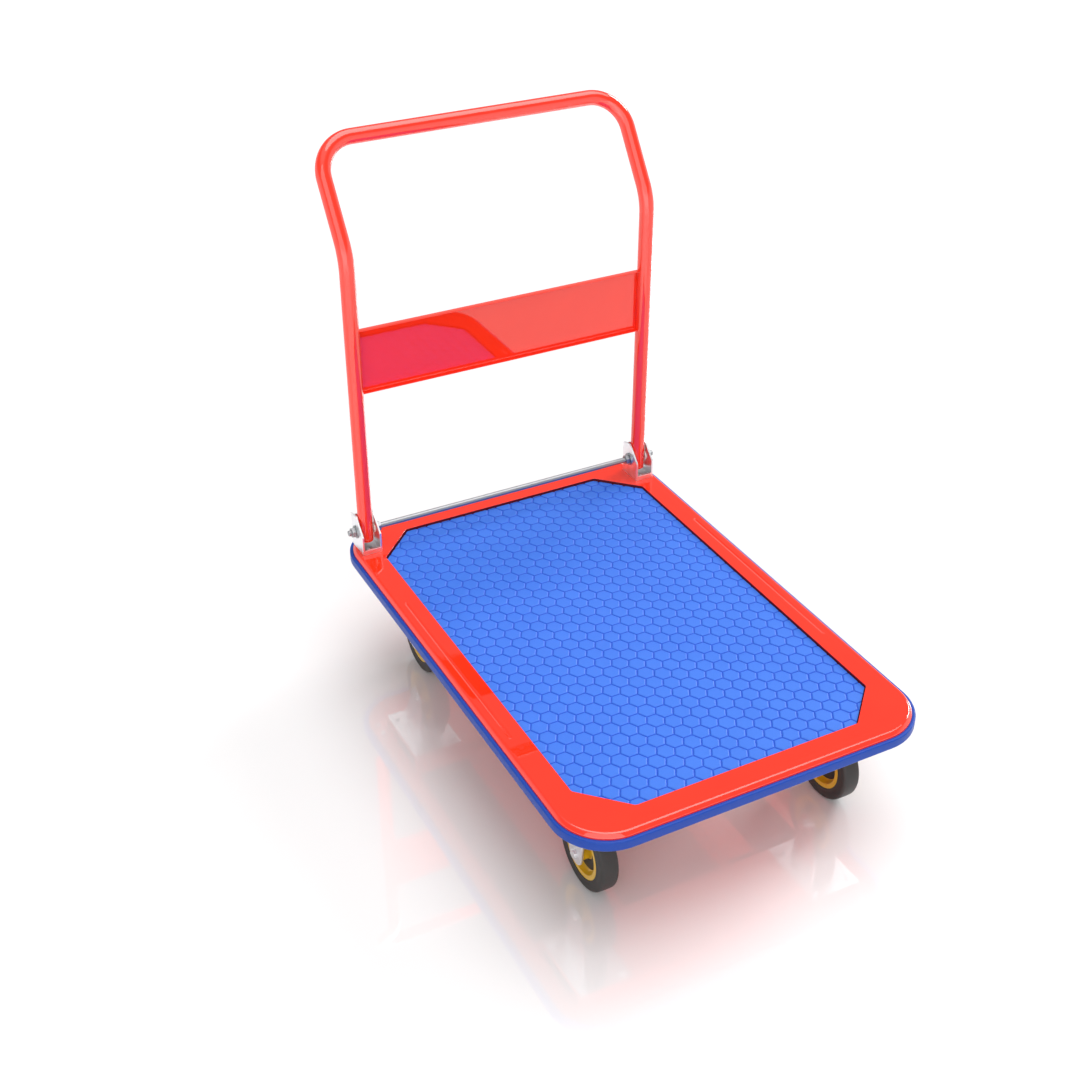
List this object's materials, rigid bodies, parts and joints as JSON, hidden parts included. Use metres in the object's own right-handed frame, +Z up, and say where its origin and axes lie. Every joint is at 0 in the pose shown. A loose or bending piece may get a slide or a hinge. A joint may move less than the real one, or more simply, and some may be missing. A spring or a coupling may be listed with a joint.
{
  "type": "platform trolley",
  "caption": "Flat-bed platform trolley with a rubber-matted steel deck, a soft edge bumper, a fold-down tube handle with a cross panel, and rigid and swivel casters.",
  "frame": {"origin": "on the floor, under the centre of the overall outline", "axes": "+X to the right across the deck when standing in front of it, +Y towards the handle end, +Z up; the deck's front end points to -Y"},
  "size_m": [0.612, 0.9518, 0.9082],
  "materials": {
    "red_paint": "gloss",
    "blue_mat": "satin",
    "blue_bumper": "satin",
    "zinc": "bright zinc plate",
    "nylon": "matte",
    "black_plastic": "matte",
    "yellow_paint": "semi gloss",
    "tyre": "matte"
  },
  "bodies": {
    "chassis": {"deck_pan": "red_paint", "deck_mat": "blue_mat", "bumper": "blue_bumper", "front_channel": "red_paint", "rear_channel": "red_paint", "stringers": "red_paint", "hinge_bracket_left": "zinc", "hinge_bracket_right": "zinc", "bracket_bolts": "zinc", "bracket_nuts": "zinc", "pivot_rod": "zinc", "rod_washers": "zinc", "rod_nuts": "zinc", "leg_bushes": "nylon", "front_left_housing": "zinc", "front_right_housing": "zinc", "front_axle_bolts": "zinc", "front_axle_nuts": "zinc", "front_axle_sleeves": "zinc", "rear_left_plate": "zinc", "rear_left_king_pin": "zinc", "rear_right_plate": "zinc", "rear_right_king_pin": "zinc", "caster_bolts": "zinc", "caster_nuts": "zinc"},
    "handle": {"handle_tube": "red_paint", "handle_panel": "red_paint", "leg_plugs": "black_plastic"},
    "front_left_wheel": {"front_left_hub": "yellow_paint", "front_left_discs": "black_plastic", "front_left_tyre": "tyre"},
    "rear_left_swivel": {"rear_left_balls": "zinc", "rear_left_fork": "zinc", "rear_left_axle_bolt": "zinc", "rear_left_axle_nut": "zinc", "rear_left_axle_sleeve": "zinc"},
    "rear_left_wheel": {"rear_left_hub": "yellow_paint", "rear_left_discs": "black_plastic", "rear_left_tyre": "tyre"},
    "front_right_wheel": {"front_right_hub": "yellow_paint", "front_right_discs": "black_plastic", "front_right_tyre": "tyre"},
    "rear_right_swivel": {"rear_right_balls": "zinc", "rear_right_fork": "zinc", "rear_right_axle_bolt": "zinc", "rear_right_axle_nut": "zinc", "rear_right_axle_sleeve": "zinc"},
    "rear_right_wheel": {"rear_right_hub": "yellow_paint", "rear_right_discs": "black_plastic", "rear_right_tyre": "tyre"}
  },
  "joints": [
    {"name": "handle_fold", "type": "hinge", "parent": "chassis", "child": "handle", "pos_m": [0, 0.35709, 0.242], "axis": [1, 0, 0], "range_deg": [0, 90]},
    {"name": "front_left_spin", "type": "hinge", "parent": "chassis", "child": "front_left_wheel", "pos_m": [-0.215, -0.34191, 0.065], "axis": [1, 0, 0], "continuous": true},
    {"name": "rear_left_swivel_turn", "type": "hinge", "parent": "chassis", "child": "rear_left_swivel", "pos_m": [-0.215, 0.28009, 0.15], "axis": [0, 0, 1], "continuous": true},
    {"name": "rear_left_spin", "type": "hinge", "parent": "rear_left_swivel", "child": "rear_left_wheel", "pos_m": [-0.215, 0.25009, 0.065], "axis": [1, 0, 0], "continuous": true},
    {"name": "front_right_spin", "type": "hinge", "parent": "chassis", "child": "front_right_wheel", "pos_m": [0.215, -0.34191, 0.065], "axis": [1, 0, 0], "continuous": true},
    {"name": "rear_right_swivel_turn", "type": "hinge", "parent": "chassis", "child": "rear_right_swivel", "pos_m": [0.215, 0.28009, 0.15], "axis": [0, 0, 1], "continuous": true},
    {"name": "rear_right_spin", "type": "hinge", "parent": "rear_right_swivel", "child": "rear_right_wheel", "pos_m": [0.215, 0.25009, 0.065], "axis": [1, 0, 0], "continuous": true}
  ]
}
